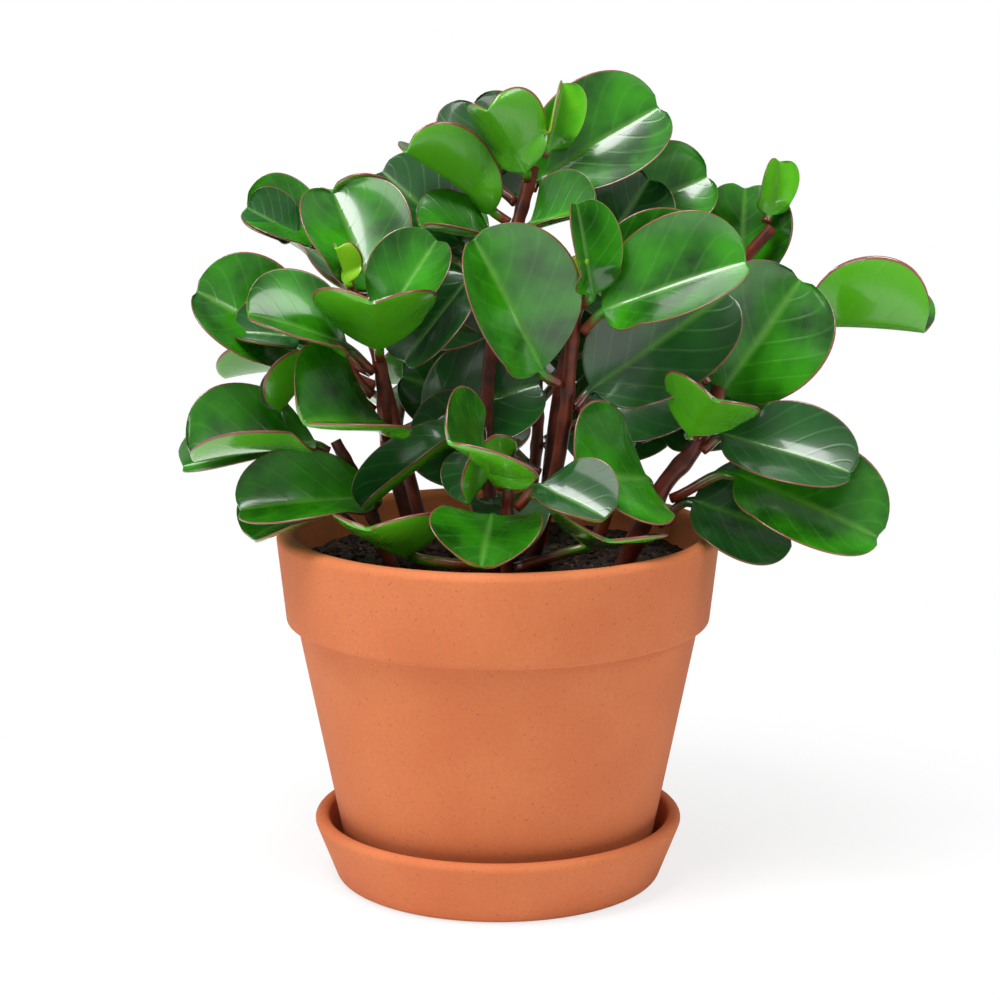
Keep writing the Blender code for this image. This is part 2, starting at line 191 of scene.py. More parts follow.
# Leaves that the shoots carry besides those above: young ones in the tips, and the ones that
# fill the plant between its shoots.
YOUNG = {
    "tall": [
        Leaf(240, (3, 10, 60), (24, 24, 20, 76), (-60, 0), 45, 5),
        Leaf(239, (3, 120, 60), (20, 24, 140, 45), (-90, 45), 15, 10),
    ],
    "front": [Leaf(203, (3, -80, 40), (11, 12, -60, 70), (90, 20), 35, 5)],
    "left": [Leaf(201, (2, -120, 55), (14, 15, 230, 65), (60, 25), 40, 5)],
    "right": [Leaf(168, (3, 150, 60), (17, 14, 60, 60), (-80, 20), 40, 5)],
    "right_back": [Leaf(218, (3, 60, 60), (20, 20, 20, 78), (-80, 10), 35, 5)],
}
# The filling leaves are finished in the deeper green of painted shade.
FILLING = {
    "mid_right": [
        Leaf(205, (8, -70, 40), (32, 36, 15, 55), (-90, 15), 12, 10),
        Leaf(165, (14, 80, 30), (42, 40, 70, 5), (80, 70), 20, 20),
        Leaf(182, (10, 175, 25), (38, 42, 165, 40), (-90, 25), 12, 10),
        Leaf(150, (12, -20, 25), (42, 44, -5, 22), (-90, 30), 12, 15),
        Leaf(135, (10, 190, 25), (38, 42, 185, 12), (-90, 35), 12, 15),
    ],
    "tall": [
        Leaf(206, (16, 165, 35), (38, 34, 160, 40), (-90, 35), 12, 10),
        Leaf(178, (16, 75, 30), (44, 40, 70, 5), (80, 65), 20, 20),
        Leaf(229, (12, 140, 40), (30, 34, 120, 60), (-90, 10), 12, 10),
        Leaf(128, (14, -75, 20), (32, 34, -80, -24), (-90, 45), 25, 10),
    ],
    "back_left": [
        Leaf(190, (16, 120, 30), (42, 40, 120, 15), (110, 65), 20, 15),
        Leaf(165, (16, 175, 20), (40, 38, 175, -5), (170, 65), 20, 20),
        Leaf(150, (14, 90, 25), (40, 40, 105, -8), (105, 60), 20, 20),
        Leaf(182, (8, -10, 25), (42, 44, 0, 28), (-90, 25), 12, 10),
        Leaf(150, (8, -20, 25), (44, 44, -5, 18), (-90, 30), 12, 15),
        Leaf(212, (18, 200, 20), (20, 24, 185, 30), (-90, 45), 15, 10),
    ],
    "right_back": [
        Leaf(168, (14, 30, 20), (42, 40, 25, -5), (30, 65), 20, 20),
        Leaf(150, (14, 60, 20), (40, 38, 50, -12), (60, 65), 20, 20),
        Leaf(178, (16, -15, 15), (28, 32, -5, -8), (-80, 45), 15, 10),
        Leaf(148, (8, -20, 20), (36, 36, -5, 8), (-85, 40), 15, 15),
        Leaf(185, (8, 170, 30), (36, 38, 165, 40), (-90, 25), 12, 10),
    ],
    "back": [
        Leaf(155, (12, 60, 20), (42, 42, 70, -12), (75, 60), 20, 20),
        Leaf(132, (14, 120, 15), (38, 38, 115, -14), (115, 60), 20, 20),
        Leaf(170, (4, 190, 50), (42, 44, 170, 50), (-90, 15), 12, 10),
        Leaf(160, (6, -10, 40), (42, 44, 10, 50), (-90, 15), 12, 10),
        Leaf(146, (8, 200, 30), (44, 46, 190, 20), (-90, 30), 12, 15),
        Leaf(138, (8, -15, 30), (42, 44, -5, 15), (-90, 30), 12, 15),
    ],
    "left": [Leaf(176, (26, 178, 25), (22, 26, 185, 5), (-75, 50), 20, 10)],
}


def linear(code):
    """Linear RGBA of an sRGB hex colour."""
    parts = [int(code[i : i + 2], 16) / 255 for i in (1, 3, 5)]
    return tuple(p / 12.92 if p <= 0.04045 else ((p + 0.055) / 1.055) ** 2.4 for p in parts) + (1.0,)


def colour_setting(name, description, code):
    return bpy.props.FloatVectorProperty(
        name=name, description=description, subtype="COLOR", size=4, min=0, max=1, default=linear(code)
    )


def length_setting(name, description, default):
    return bpy.props.FloatProperty(
        name=name, description=description, default=default, min=0, unit="LENGTH", precision=4
    )


class PeperomiaSettings(bpy.types.PropertyGroup):
    """Sizes and colours of the plant and its pot."""

    lip: length_setting("Lip", "Thickness of the pot's rim", 6.4 * MM)
    wall: length_setting("Wall", "Thickness of the pot below its band", 5.6 * MM)
    band: length_setting("Band", "Height of the rolled band under the rim", 31 * MM)
    blade: length_setting("Blade", "Thickness of a leaf along its midrib", 1.7 * MM)
    margin: length_setting("Margin", "Thickness of a leaf near its edge", 0.7 * MM)
    petiole: length_setting("Petiole", "Radius of a leaf's stalk", 1.7 * MM)
    crumb: length_setting("Crumb", "About the width of the largest crumb of soil", 2.6 * MM)
    clay: colour_setting("Clay", "Fired clay", "#BC6335")
    clay_pale: colour_setting("Pale clay", "Dusty bloom on the clay", "#C87444")
    grog: colour_setting("Grog", "Crushed fired clay in the body", "#A85830")
    speck: colour_setting("Speck", "Small dark iron specks in the clay", "#7A4029")
    leaf_deep: colour_setting("Deep leaf", "Upper side in its darker parts", "#0B3A05")
    leaf_bright: colour_setting("Bright leaf", "Upper side in its lighter parts", "#308A08")
    shaded_leaf_deep: colour_setting("Deep inner leaf", "Shaded leaf in its darker parts", "#0B3510")
    # Painted shade: the deeper greens of leaves that others shade.
    shaded_leaf_bright: colour_setting("Bright inner leaf", "Shaded leaf in its lighter parts", "#1C5A1E")
    young_deep: colour_setting("Deep young leaf", "Young leaf in its darker parts", "#2F8F1C")
    young_bright: colour_setting("Bright young leaf", "Young leaf in its lighter parts", "#63B51C")
    young_under: colour_setting("Young underside", "Lime underside of a young leaf", "#8CCB1E")
    leaf_under: colour_setting("Underside", "Pale underside of a leaf", "#4A9A14")
    leaf_margin: colour_setting("Margin colour", "Fine edge round a leaf", "#7A4534")
    midrib: colour_setting("Midrib", "Pale line along the middle of a leaf", "#7DB84A")
    vein: colour_setting("Vein", "Faint side veins of a leaf", "#5FA43A")
    stem: colour_setting("Stem", "Red-brown shoots", "#6E2A16")
    stem_dark: colour_setting("Dark stem", "Blotches on the shoots", "#3A160B")
    soil: colour_setting("Soil", "Moist compost", "#21150E")
    fibre: colour_setting("Fibre", "Paler fibres and bark in the compost", "#6A4A35")
    paper: colour_setting("Paper", "White floor", "#F7F7F7")


def settings():
    return getattr(bpy.context.scene, SETTINGS)


# ---- finishes -------------------------------------------------------------------------------


def add(tree, kind, inputs=None, **options):
    """A node with its options. An input is named, or counted among those that the node uses.

    It takes a value, an output, or a node, whose first used output it then takes.
    """
    made = tree.nodes.new(kind)
    for name, value in options.items():
        setattr(made, name, value)
    used = [socket for socket in made.inputs if socket.enabled]
    for key, value in (inputs or {}).items():
        socket = used[key] if isinstance(key, int) else made.inputs[key]
        if isinstance(value, bpy.types.Node):
            value = next(output for output in value.outputs if output.enabled)
        if isinstance(value, bpy.types.NodeSocket):
            tree.links.new(value, socket)
        else:
            socket.default_value = value
    return made


def new_finish(name, roughness, ior):
    """A material of this name, its tree, its shader and the place of a point on the object."""
    made = bpy.data.materials.new(name)
    made.use_nodes = True
    tree = made.node_tree
    shader = tree.nodes["Principled BSDF"]
    shader.inputs["Roughness"].default_value = roughness
    shader.inputs["IOR"].default_value = ior
    return made, tree, shader, add(tree, "ShaderNodeTexCoord").outputs["Object"]


def lay_on(tree, shader, colour, relief):
    """Gives the shader its colour and its relief."""
    used = next(output for output in colour.outputs if output.enabled)
    tree.links.new(used, shader.inputs["Base Color"])
    tree.links.new(relief.outputs["Normal"], shader.inputs["Normal"])


def fired_clay():
    """Unglazed terracotta, pressed and fired."""
    # Matt and warm, with dusty pale patches, a grainy body and a few small dark specks.
    made, tree, shader, place = new_finish("fired_terracotta", 0.82, 1.5)
    values = settings()
    dust_across, grog_across, speck_across, pore_across = 30 * MM, 1.1 * MM, 0.8 * MM, 0.9 * MM
    pore_depth = 0.15 * MM

    dust = add(tree, "ShaderNodeTexNoise", {"Vector": place, "Scale": 1 / dust_across, "Detail": 3})
    dust = add(tree, "ShaderNodeMapRange", {"Value": dust, "From Min": 0.2, "From Max": 0.9})
    body = add(tree, "ShaderNodeMix", {0: dust, 1: values.clay, 2: values.clay_pale}, data_type="RGBA")
    grog = add(tree, "ShaderNodeTexNoise", {"Vector": place, "Scale": 1 / grog_across, "Detail": 2})
    grog = add(
        tree, "ShaderNodeMapRange", {"Value": grog, "From Min": 0.3, "From Max": 0.75, "To Max": 0.3}
    )
    body = add(tree, "ShaderNodeMix", {0: grog, 1: body, 2: values.grog}, data_type="RGBA")
    speck = add(tree, "ShaderNodeTexNoise", {"Vector": place, "Scale": 1 / speck_across, "Detail": 0})
    speck = add(
        tree, "ShaderNodeMapRange", {"Value": speck, "From Min": 0.76, "From Max": 0.82, "To Max": 0.55}
    )
    body = add(tree, "ShaderNodeMix", {0: speck, 1: body, 2: values.speck}, data_type="RGBA")
    pores = add(tree, "ShaderNodeTexNoise", {"Vector": place, "Scale": 1 / pore_across, "Detail": 3})
    relief = add(tree, "ShaderNodeBump", {"Height": pores, "Distance": pore_depth, "Strength": 0.5})
    lay_on(tree, shader, body, relief)
    return made


def waxy_leaf(name, roughness, deep, bright, under):
    """Fleshy leaf, grown with a wax skin."""
    # Green and glossy, with a pale midrib, faint side veins, a fine brown edge and a pale underside.
    made, tree, shader, place = new_finish(name, roughness, 1.45)
    shader.inputs["Coat Weight"].default_value = 0.6
    shader.inputs["Coat Roughness"].default_value = 0.1
    values = settings()
    patch_across, vein_depth = 18 * MM, 0.12 * MM
    veins_along, veins_forward = 34, 15  # radians along a blade, and from its midrib to its edge

    blade = add(tree, "ShaderNodeAttribute", attribute_name="blade").outputs["Vector"]
    along, across, side = add(tree, "ShaderNodeSeparateXYZ", {0: blade}).outputs
    out = add(tree, "ShaderNodeMath", {0: across}, operation="ABSOLUTE")

    patch = add(tree, "ShaderNodeTexNoise", {"Vector": place, "Scale": 1 / patch_across, "Detail": 3})
    patch = add(tree, "ShaderNodeMapRange", {"Value": patch, "From Min": 0.3, "From Max": 0.7})
    body = add(tree, "ShaderNodeMix", {0: patch, 1: deep, 2: bright}, data_type="RGBA")

    rib = add(tree, "ShaderNodeMapRange", {"Value": out, "From Min": 0.09, "From Max": 0})
    rib_tint = add(tree, "ShaderNodeMath", {0: rib, 1: 0.3}, operation="MULTIPLY")
    body = add(tree, "ShaderNodeMix", {0: rib_tint, 1: body, 2: values.midrib}, data_type="RGBA")

    fan = add(tree, "ShaderNodeMath", {0: along, 1: veins_along}, operation="MULTIPLY")
    forward = add(tree, "ShaderNodeMath", {0: out, 1: veins_forward}, operation="MULTIPLY")
    fan = add(tree, "ShaderNodeMath", {0: fan, 1: forward}, operation="SUBTRACT")
    fan = add(tree, "ShaderNodeMath", {0: fan}, operation="SINE")
    veins = add(tree, "ShaderNodeMapRange", {"Value": fan, "From Min": 0.8, "From Max": 1})
    vein_tint = add(tree, "ShaderNodeMath", {0: veins, 1: 0.1}, operation="MULTIPLY")
    body = add(tree, "ShaderNodeMix", {0: vein_tint, 1: body, 2: values.vein}, data_type="RGBA")

    body = add(tree, "ShaderNodeMix", {0: side, 1: body, 2: under}, data_type="RGBA")
    edge = add(tree, "ShaderNodeMapRange", {"Value": out, "From Min": 0.955, "From Max": 0.975})
    body = add(tree, "ShaderNodeMix", {0: edge, 1: body, 2: values.leaf_margin}, data_type="RGBA")
    stalk = add(tree, "ShaderNodeMapRange", {"Value": along, "From Min": -0.15, "From Max": -0.7})
    body = add(tree, "ShaderNodeMix", {0: stalk, 1: body, 2: values.stem}, data_type="RGBA")

    groove = add(tree, "ShaderNodeMath", {0: rib, 1: -1.5}, operation="MULTIPLY")
    height = add(tree, "ShaderNodeMath", {0: veins, 1: groove}, operation="ADD")
    relief = add(tree, "ShaderNodeBump", {"Height": height, "Distance": vein_depth, "Strength": 0.35})
    lay_on(tree, shader, body, relief)
    return made


def fleshy_stem():
    """Fleshy stem, grown with a smooth skin."""
    # Red-brown and shiny, with darker blotches.
    made, tree, shader, place = new_finish("fleshy_stem", 0.38, 1.42)
    values = settings()
    blotch_across, ripple_across, ripple_depth = 6 * MM, 1.5 * MM, 0.15 * MM
    blotch = add(tree, "ShaderNodeTexNoise", {"Vector": place, "Scale": 1 / blotch_across, "Detail": 3})
    blotch = add(tree, "ShaderNodeMapRange", {"Value": blotch, "From Min": 0.35, "From Max": 0.7})
    body = add(tree, "ShaderNodeMix", {0: blotch, 1: values.stem, 2: values.stem_dark}, data_type="RGBA")
    ripple = add(tree, "ShaderNodeTexNoise", {"Vector": place, "Scale": 1 / ripple_across, "Detail": 3})
    relief = add(tree, "ShaderNodeBump", {"Height": ripple, "Distance": ripple_depth, "Strength": 0.4})
    lay_on(tree, shader, body, relief)
    return made


def moist_compost():
    """Potting compost, crumbled and damp."""
    # Dark and matt, with paler fibres and a rough, crumbly surface.
    made, tree, shader, place = new_finish("moist_compost", 0.95, 1.4)
    values = settings()
    fibre_across, crumb_across, crumb_depth = 2.4 * MM, 1.2 * MM, 0.6 * MM
    fibre = add(tree, "ShaderNodeTexNoise", {"Vector": place, "Scale": 1 / fibre_across, "Detail": 3})
    fibre = add(tree, "ShaderNodeMapRange", {"Value": fibre, "From Min": 0.55, "From Max": 0.75})
    body = add(tree, "ShaderNodeMix", {0: fibre, 1: values.soil, 2: values.fibre}, data_type="RGBA")
    crumbs = add(tree, "ShaderNodeTexNoise", {"Vector": place, "Scale": 1 / crumb_across, "Detail": 3})
    relief = add(tree, "ShaderNodeBump", {"Height": crumbs, "Distance": crumb_depth, "Strength": 0.8})
    lay_on(tree, shader, body, relief)
    return made


def shared(name, maker):
    """The finish of this name, made the first time that a piece asks for it."""
    return bpy.data.materials.get(name) or maker()


def finish_piece(made, slot, material, *nodes):
    """Gives a piece its finish and its body, and hides the frame nodes that it stands for."""
    made.data.materials.clear()
    made.data.materials.append(material)
    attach(made, "root")
    if nodes:
        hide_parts(*nodes)


def new_object(name, mesh):
    made = bpy.data.objects.new(name, mesh)
    bpy.context.scene.collection.objects.link(made)
    return made


# ---- turned pieces and soil -----------------------------------------------------------------

TURNED_STEPS = 160
POT_FLOOR = 6 * MM
DRAIN_RADIUS = 7 * MM
SAUCER_FLOOR = 5 * MM
SAUCER_WALL = 5.4 * MM
SOIL_CROWN = 2 * MM
CRUMBS = 900

# Radii of the pot and the saucer, as parts of their rims' radii.
BAND_FOOT = 0.955
BODY_TOP = 0.908
HOLLOW_TOP = 0.903
POT_FOOT = 0.684
SAUCER_FOOT = 0.864


def rounded(corners, steps=8):
    """Profile through corners (radius, height, rounding), each rounded by an arc."""
    profile = []
    for i, (x, z, rounding) in enumerate(corners):
        corner = Vector((x, z))
        if not rounding:
            profile.append(corner)
            continue
        before = (Vector(corners[i - 1][:2]) - corner).normalized()
        after = (Vector(corners[(i + 1) % len(corners)][:2]) - corner).normalized()
        half = before.angle(after) / 2
        centre = corner + (before + after).normalized() * rounding / math.sin(half)
        first = corner + before * rounding / math.tan(half) - centre
        last = corner + after * rounding / math.tan(half) - centre
        sweep = first.angle_signed(last)
        for step in range(steps + 1):
            profile.append(centre + Matrix.Rotation(-sweep * step / steps, 2) @ first)
    return profile


def turned(name, profile, closed):
    """Solid of revolution about Z, from a profile drawn at +X."""
    mesh = bpy.data.meshes.new(name)
    edges = [(i, i + 1) for i in range(len(profile) - 1)]
    if closed:
        edges.append((len(profile) - 1, 0))
    mesh.from_pydata([(p.x, 0, p.y) for p in profile], edges, [])
    made = new_object(name, mesh)
    screw = made.modifiers.new("Turn", "SCREW")
    screw.steps = screw.render_steps = TURNED_STEPS
    screw.use_merge_vertices = True
    screw.merge_threshold = 0.01 * MM
    screw.use_smooth_shade = True
    return made


def pot_inside():
    """Inner side of the pot from its floor to its lip, as (radius, height)."""
    low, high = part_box("pot")
    rim, top, foot = high[0], high[2], low[2]
    values = settings()
    return [
        (rim * POT_FOOT - values.wall, foot + POT_FLOOR),
        (rim * HOLLOW_TOP - values.wall, top - values.band - 4 * MM),
        (rim * BAND_FOOT - values.wall, top - values.band + 1 * MM),
        (rim - values.lip, top),
    ]


class PEPEROMIA_OT_pot(bpy.types.Operator):
    """Turn the terracotta pot with its band and drain hole"""

    bl_idname = "peperomia.pot"
    bl_label = "Pot"

    def execute(self, context):
        low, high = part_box("pot")
        rim, top, foot = high[0], high[2], low[2]
        band_foot = top - settings().band
        floor, body, band, lip = pot_inside()
        corners = [
            (rim, top, 2.6 * MM),
            (rim * BAND_FOOT, band_foot, 1.3 * MM),
            (rim * BODY_TOP, band_foot - 1 * MM, 1.2 * MM),
            (rim * POT_FOOT, foot, 1.5 * MM),
            (DRAIN_RADIUS, foot, 0),
            (DRAIN_RADIUS, foot + POT_FLOOR, 0),
            (*floor, 0),
            (*body, 0),
            (*band, 0),
            (*lip, 2.6 * MM),
        ]
        made = turned("clay_pot", rounded(corners), True)
        finish_piece(made, "terracotta", shared("fired_terracotta", fired_clay), "pot")
        return {"FINISHED"}


class PEPEROMIA_OT_saucer(bpy.types.Operator):
    """Turn the saucer under the pot"""

    bl_idname = "peperomia.saucer"
    bl_label = "Saucer"

    def execute(self, context):
        low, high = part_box("saucer")
        rim, top, foot = high[0], high[2], low[2]
        base = rim * SAUCER_FOOT
        corners = [
            (0, foot + SAUCER_FLOOR, 0),
            (base - 1.5 * MM, foot + SAUCER_FLOOR, 2.4 * MM),
            (rim - SAUCER_WALL, top, 2.2 * MM),
            (rim, top, 2.2 * MM),
            (base, foot, 3 * MM),
            (0, foot, 0),
        ]
        made = turned("clay_saucer", rounded(corners), False)
        finish_piece(made, "terracotta", shared("fired_terracotta", fired_clay), "saucer")
        return {"FINISHED"}


class PEPEROMIA_OT_soil(bpy.types.Operator):
    """Fill the pot with compost, uneven on top, with loose crumbs"""

    bl_idname = "peperomia.soil"
    bl_label = "Soil"

    def execute(self, context):
        low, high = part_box("soil")
        edge, top, foot = high[0], high[2], low[2]
        rings, spokes = 48, 128
        clod, fleck, unevenness = 6 * MM, 2 * MM, 0.8 * MM
        body = bmesh.new()
        middle = body.verts.new((0, 0, top))
        rows = []
        for ring in range(1, rings + 1):
            radius = edge * ring / rings
            row = []
            for spoke in range(spokes):
                turn = 2 * math.pi * spoke / spokes
                x, y = radius * math.cos(turn), radius * math.sin(turn)
                lump = noise.noise(Vector((x, y, 0)) / clod) + noise.noise(Vector((x, y, 1)) / fleck)
                height = top - SOIL_CROWN * ring / rings + unevenness * lump
                row.append(body.verts.new((x, y, height)))
            rows.append(row)
        floor, wall, band, _ = pot_inside()
        for radius, height in (band, wall, floor):
            reach = radius - 2 * GAP
            level = max(height, foot)
            row = []
            for spoke in range(spokes):
                turn = 2 * math.pi * spoke / spokes
                row.append(body.verts.new((reach * math.cos(turn), reach * math.sin(turn), level)))
            rows.append(row)
        for i in range(spokes):
            j = (i + 1) % spokes
            body.faces.new((middle, rows[0][i], rows[0][j]))
            for inner, outer in zip(rows, rows[1:]):
                body.faces.new((inner[i], outer[i], outer[j], inner[j]))
        body.faces.new(list(reversed(rows[-1])))
        mesh = bpy.data.meshes.new("compost")
        body.to_mesh(mesh)
        body.free()
        mesh.shade_smooth()
        compost = shared("moist_compost", moist_compost)
        finish_piece(new_object("compost", mesh), "soil", compost, "soil")
        self.scatter_crumbs(edge, top, compost)
        return {"FINISHED"}

    def scatter_crumbs(self, edge, top, compost):
        """Loose crumbs on the soil, each an uneven small ball, joined into one piece."""
        rng = random.Random(11)
        body = bmesh.new()
        for _ in range(CRUMBS):
            turn, radius = rng.uniform(0, 2 * math.pi), edge * 0.97 * math.sqrt(rng.random())
            size = settings().crumb * rng.uniform(0.2, 0.55)
            height = top - SOIL_CROWN * radius / edge + size * 0.25
            place = Matrix.Translation((radius * math.cos(turn), radius * math.sin(turn), height))
            shape = Matrix.Diagonal((rng.uniform(0.7, 1.7), rng.uniform(0.7, 1.2), 0.8, 1))
            spin = Matrix.Rotation(rng.uniform(0, math.pi), 4, "Z")
            made = bmesh.ops.create_icosphere(
                body, subdivisions=1, radius=size, matrix=place @ spin @ shape
            )
            for vert in made["verts"]:
                vert.co += Vector([rng.uniform(-0.2, 0.2) * size for _ in range(3)])
        mesh = bpy.data.meshes.new("soil_crumbs")
        body.to_mesh(mesh)
        body.free()
        finish_piece(new_object("soil_crumbs", mesh), "soil", compost)


# ---- stems ----------------------------------------------------------------------------------

STEM_STEPS = 60
JOINT_SWELL = 0.18  # part of a stem's thickness that it swells by where a leaf leaves it
JOINT_LENGTH = 2.2 * MM  # how far above and below the leaf it swells


def on_route(route, along):
    """Point and tangent of a smooth curve through the route's points, at 0 to 1 along it."""
    points = [Vector(p) * MM for p in route]
    points = [2 * points[0] - points[1], *points, 2 * points[-1] - points[-2]]
    spans = len(route) - 1
    span = min(int(along * spans), spans - 1)
    t = along * spans - span
    a, b, c, d = points[span : span + 4]
    bend = 2 * a - 5 * b + 4 * c - d
    twist = 3 * b - a - 3 * c + d
    place = b + 0.5 * ((c - a) * t + bend * t * t + twist * t**3)
    slope = 0.5 * ((c - a) + 2 * bend * t + 3 * twist * t * t)
    return place, slope.normalized()


def taper(along):
    """A stem's thickness along it, as a part of its thickness at the soil."""
    return 1 - 0.22 * along


def stem_at(shoot, height):
    """Place, tangent and radius of a shoot's stem at a height in millimetres."""
    low, high = 0.0, 1.0
    for _ in range(30):
        middle = (low + high) / 2
        if on_route(shoot.route, middle)[0].z < height * MM:
            low = middle
        else:
            high = middle
    place, tangent = on_route(shoot.route, low)
    return place, tangent, shoot.radius * MM * taper(low)


class PEPEROMIA_OT_stems(bpy.types.Operator):
    """Grow the shoots, swollen a little where each leaf leaves them"""

    bl_idname = "peperomia.stems"
    bl_label = "Stems"

    def execute(self, context):
        for name, shoot in SHOOTS.items():
            curve = bpy.data.curves.new("shoot_" + name, "CURVE")
            curve.dimensions = "3D"
            curve.bevel_depth = 1.0
            curve.bevel_resolution = 6
            curve.use_fill_caps = True
            spline = curve.splines.new("POLY")
            spline.points.add(STEM_STEPS)
            joints = [leaf.height * MM for leaf in shoot.leaves]
            for step, point in enumerate(spline.points):
                place, _ = on_route(shoot.route, step / STEM_STEPS)
                near = min(abs(place.z - joint) for joint in joints)
                swell = 1 + JOINT_SWELL * math.exp(-((near / JOINT_LENGTH) ** 2))
                point.co = (*place, 1)
                point.radius = shoot.radius * MM * taper(step / STEM_STEPS) * swell
            spline.use_smooth = True
            made = new_object("shoot_" + name, curve)
            finish_piece(made, "stem", shared("fleshy_stem", fleshy_stem), "stem_" + name)
        return {"FINISHED"}


# ---- leaves ---------------------------------------------------------------------------------

ACROSS = (-1, -0.985, -0.955, -0.88, -0.75, -0.6, -0.45, -0.3, -0.18, -0.08, 0)
PETIOLE_STEPS = 8
PETIOLE_END = 0.92  # where the petiole's rings end and the blade's take over, along the petiole
BLADE_STEPS = 30
BLADE_START = 0.03  # where a blade's rings start and how far they run, as parts of a half turn
BLADE_RUN = 0.965
CUP = 28  # degrees that each half of a blade curls up on top of its fold
RIPPLE = 0.9 * MM  # waviness of a blade's edge
TIP = 0.8  # where a blade's tip begins, along the blade
NOTCH_DEPTH = 1.6 * MM
NOTCH_HALF_WIDTH = 4 * MM


def blade_outline(u):
    """Half width along a rounded blade that is broadest past its middle, 1 at the widest."""
    return 1.856 * u**0.5 * (1 - u) ** 0.4


def direction(heading, rise):
    """Unit vector at a heading and a rise, both in degrees."""
    flat = math.cos(math.radians(rise))
    turn = math.radians(heading)
    return Vector((flat * math.cos(turn), flat * math.sin(turn), math.sin(math.radians(rise))))


def leaf_rings(shoot, leaf, rng):
    """Rings of points round the petiole and blade, and each point's (along, across, underside)."""
    stem, tangent, stem_radius = stem_at(shoot, leaf.height)
    values = settings()
    reach, petiole_heading, petiole_rise = leaf.petiole
    leaves_stem = direction(petiole_heading, petiole_rise)
    slant = leaves_stem.dot(tangent)
    clear = stem_radius + GAP + values.petiole * abs(slant)
    foot = stem + leaves_stem * clear / max(math.sqrt(1 - slant * slant), 0.5)
    base = foot + leaves_stem * reach * MM

    length, width, heading, pitch = leaf.blade
    forward = direction(heading, pitch)
    side = forward.cross(direction(*leaf.face)).normalized()
    normal = side.cross(forward)
    droop, fold, cup = math.radians(leaf.droop), math.radians(leaf.fold), math.radians(CUP)
    waves = [(rng.uniform(3, 6), rng.uniform(0, 6.28)) for _ in range(2)]

    start = forward * math.cos(droop / 2) + normal * math.sin(droop / 2)
    bend_out = foot + leaves_stem * reach * MM * 0.45
    bend_in = base - start * reach * MM * 0.35
    across = ACROSS + tuple(-v for v in ACROSS[-2::-1])
    rings, marks = [], []

    def ring(place, side, top, ahead, u, half_width, thickness, edge, fold, cup, ripple):
        """One ring, from its upper points to its lower ones, with its points' marks."""
        upper, lower, upper_marks, lower_marks = [], [], [], []
        for v in across:
            slope = fold + cup * abs(v)
            out = (math.sin(slope) - math.sin(fold)) / cup * math.copysign(half_width, v)
            lift = (math.cos(fold) - math.cos(slope)) / cup * half_width
            speed, phase = waves[v > 0]
            lift += ripple * v * v * math.sin(speed * u + phase)
            point = place + side * out + top * lift
            if u > TIP:
                pull = max(0.0, 1 - abs(out) / NOTCH_HALF_WIDTH) * ((u - TIP) / (1 - TIP)) ** 2
                point -= ahead * pull * NOTCH_DEPTH
            round_edge = math.sqrt(max(0.0, 1 - v**2))
            thick = round_edge * thickness + min(1.0, round_edge * 5) * edge
            upper.append(point + top * thick)
            upper_marks.append((u, v, 0.0))
            if abs(v) < 1:
                lower.append(point - top * thick)
                lower_marks.append((u, v, 1.0))
        rings.append(upper + lower[::-1])
        marks.append(upper_marks + lower_marks[::-1])

    for step in range(PETIOLE_STEPS):
        t = step / PETIOLE_STEPS * PETIOLE_END
        s = 1 - t
        place = s**3 * foot + 3 * s * s * t * bend_out + 3 * s * t * t * bend_in + t**3 * base
        ahead = s * s * (bend_out - foot) + 2 * s * t * (bend_in - bend_out) + t * t * (base - bend_in)
        ahead.normalize()
        sideways = (side - ahead * side.dot(ahead)).normalized()
        top = sideways.cross(ahead)
        ring(place, sideways, top, ahead, t - 1, values.petiole, values.petiole, 0, 0, 1e-4, 0)
    for step in range(BLADE_STEPS):
        u = 0.5 * (1 - math.cos(math.pi * (BLADE_START + BLADE_RUN * step / (BLADE_STEPS - 1))))
        turn = droop * (0.5 - u)
        along = (math.sin(droop / 2) - math.sin(turn)) / droop
        rise = (math.cos(turn) - math.cos(droop / 2)) / droop
        place = base + (forward * along + normal * rise) * length * MM
        top = normal * math.cos(turn) - forward * math.sin(turn)
        ahead = forward * math.cos(turn) + normal * math.sin(turn)
        half_width = max(blade_outline(u) * width * MM / 2, values.petiole)
        early = min(1, u / 0.25)
        thin = (values.blade - values.margin) / 2 * (1 - 0.3 * u) + (1 - early) * values.petiole / 2
        ripple = RIPPLE * early
        ring(place, side, top, ahead, u, half_width, thin, values.margin / 2, fold * early, cup, ripple)
    return rings, marks


def grow_leaf(name, shoot, leaf, material, *nodes):
    """Petiole and blade as one closed loft, marked along, across and by side for its finish."""
    rings, marks = leaf_rings(shoot, leaf, random.Random(name))
    count = len(rings[0])
    faces = []
    for r in range(len(rings) - 1):
        for i in range(count):
            j = (i + 1) % count
            here, ahead = r * count, (r + 1) * count
            faces.append((here + i, here + j, ahead + j, ahead + i))
    last = (len(rings) - 1) * count
    faces.append(tuple(reversed(range(count))))
    faces.append(tuple(range(last, last + count)))
    mesh = bpy.data.meshes.new(name)
    mesh.from_pydata([point for row in rings for point in row], [], faces)
    attribute = mesh.attributes.new("blade", "FLOAT_VECTOR", "POINT")
    attribute.data.foreach_set("vector", [value for row in marks for mark in row for value in mark])
    body = bmesh.new()
    body.from_mesh(mesh)
    bmesh.ops.recalc_face_normals(body, faces=body.faces)
    body.to_mesh(mesh)
    body.free()
    mesh.shade_smooth()
    finish_piece(new_object(name, mesh), "leaf", material, *nodes)


